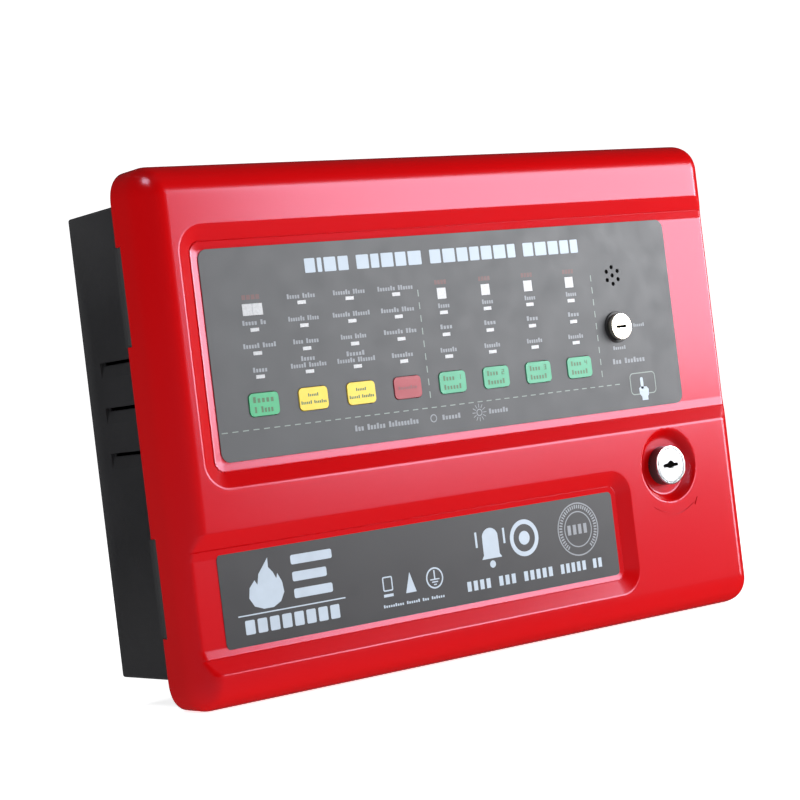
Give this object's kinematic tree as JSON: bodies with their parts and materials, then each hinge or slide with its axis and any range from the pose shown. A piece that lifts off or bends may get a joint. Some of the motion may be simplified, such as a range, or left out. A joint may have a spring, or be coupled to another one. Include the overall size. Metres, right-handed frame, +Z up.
{
  "type": "fire alarm control panel",
  "caption": "Wall-mounted fire alarm control panel: a red hinged door with lamps, push buttons, key switch and cam lock on a black back box.",
  "frame": {"origin": "centre of the back box's flat face on the wall", "axes": "+X to the right and +Z up as seen by someone facing the panel, +Y into the wall; the door faces -Y"},
  "size_m": [0.364, 0.0838, 0.26],
  "materials": {
    "case_plastic": "fine moulded texture",
    "door_plastic": "satin, fine moulded texture",
    "overlay_film": "satin printed film",
    "label_film": "satin printed film",
    "lamp_lens": "milky",
    "key_green": "satin printed",
    "key_yellow": "satin printed",
    "key_red": "satin printed",
    "key_mint": "satin printed",
    "chrome_lock": "polished",
    "nickel_switch": "satin nickel",
    "zinc_steel": "zinc plated",
    "brass": "plain",
    "solder_mask": "satin",
    "black_mould": "plain",
    "terminal_green": "plain",
    "terminal_white": "plain",
    "relay_blue": "plain",
    "capacitor_sleeve": "shrunk sleeve",
    "bare_aluminium": "extruded",
    "lamination_steel": "varnished",
    "coil_tape": "polyester tape",
    "battery_case": "plain",
    "plug_rubber": "plain",
    "fuse_glass": "clear"
  },
  "bodies": {
    "case": {"back_box": "case_plastic", "hinge_pins": "zinc_steel", "blanking_plugs": "plug_rubber", "lock_strike": "zinc_steel", "strike_screws": "zinc_steel", "main_board": "solder_mask", "board_screws": "zinc_steel", "zone_terminals": "terminal_green", "terminal_screws": "zinc_steel", "relays": "relay_blue", "capacitors": "capacitor_sleeve", "control_chips": "black_mould", "heat_sink": "bare_aluminium", "board_header": "black_mould", "mains_terminal": "terminal_white", "fuse_holder": "black_mould", "mains_fuse": "fuse_glass", "earth_stud": "brass", "transformer_core": "lamination_steel", "transformer_coil": "coil_tape", "transformer_frame": "zinc_steel", "transformer_screws": "zinc_steel", "battery_left": "battery_case", "battery_right": "battery_case", "battery_tabs": "brass", "battery_clamp": "zinc_steel", "clamp_screws": "zinc_steel"},
    "door": {"door_cover": "door_plastic", "upper_overlay": "overlay_film", "lower_label": "label_film", "display_board": "solder_mask", "display_screws": "zinc_steel", "indicator_lamps": "lamp_lens", "alarm_lamps": "lamp_lens", "tact_switches": "black_mould", "buzzer": "black_mould", "display_chips": "black_mould", "display_header": "black_mould", "key_switch_bezel": "black_mould", "key_switch_body": "nickel_switch", "key_switch_nut": "zinc_steel", "lock_body": "chrome_lock", "lock_nut": "zinc_steel"},
    "lock_barrel": {"lock_plug": "chrome_lock", "lock_cam": "zinc_steel", "cam_screw": "zinc_steel"},
    "key_barrel": {"key_switch_plug": "nickel_switch"},
    "push_1": {"button_1": "key_green"},
    "push_2": {"button_2": "key_yellow"},
    "push_3": {"button_3": "key_yellow"},
    "push_4": {"button_4": "key_red"},
    "push_5": {"button_5": "key_mint"},
    "push_6": {"button_6": "key_mint"},
    "push_7": {"button_7": "key_mint"},
    "push_8": {"button_8": "key_mint"}
  },
  "joints": [
    {"name": "door_hinge", "type": "hinge", "parent": "case", "child": "door", "pos_m": [-0.1796, -0.0514, 0], "axis": [0, 0, -1], "range_deg": [0, 105]},
    {"name": "lock_turn", "type": "hinge", "parent": "door", "child": "lock_barrel", "pos_m": [0.1265, -0.07, -0.0474], "axis": [0, 1, 0], "range_deg": [0, 90]},
    {"name": "key_turn", "type": "hinge", "parent": "door", "child": "key_barrel", "pos_m": [0.1042, -0.07, 0.0311], "axis": [0, 1, 0], "range_deg": [0, 90]},
    {"name": "button_1_press", "type": "slide", "parent": "door", "child": "push_1", "axis": [0, 1, 0], "range_m": [0, 0.0006], "stiffness_N_per_m": 1500},
    {"name": "button_2_press", "type": "slide", "parent": "door", "child": "push_2", "axis": [0, 1, 0], "range_m": [0, 0.0006], "stiffness_N_per_m": 1500},
    {"name": "button_3_press", "type": "slide", "parent": "door", "child": "push_3", "axis": [0, 1, 0], "range_m": [0, 0.0006], "stiffness_N_per_m": 1500},
    {"name": "button_4_press", "type": "slide", "parent": "door", "child": "push_4", "axis": [0, 1, 0], "range_m": [0, 0.0006], "stiffness_N_per_m": 1500},
    {"name": "button_5_press", "type": "slide", "parent": "door", "child": "push_5", "axis": [0, 1, 0], "range_m": [0, 0.0006], "stiffness_N_per_m": 1500},
    {"name": "button_6_press", "type": "slide", "parent": "door", "child": "push_6", "axis": [0, 1, 0], "range_m": [0, 0.0006], "stiffness_N_per_m": 1500},
    {"name": "button_7_press", "type": "slide", "parent": "door", "child": "push_7", "axis": [0, 1, 0], "range_m": [0, 0.0006], "stiffness_N_per_m": 1500},
    {"name": "button_8_press", "type": "slide", "parent": "door", "child": "push_8", "axis": [0, 1, 0], "range_m": [0, 0.0006], "stiffness_N_per_m": 1500}
  ]
}
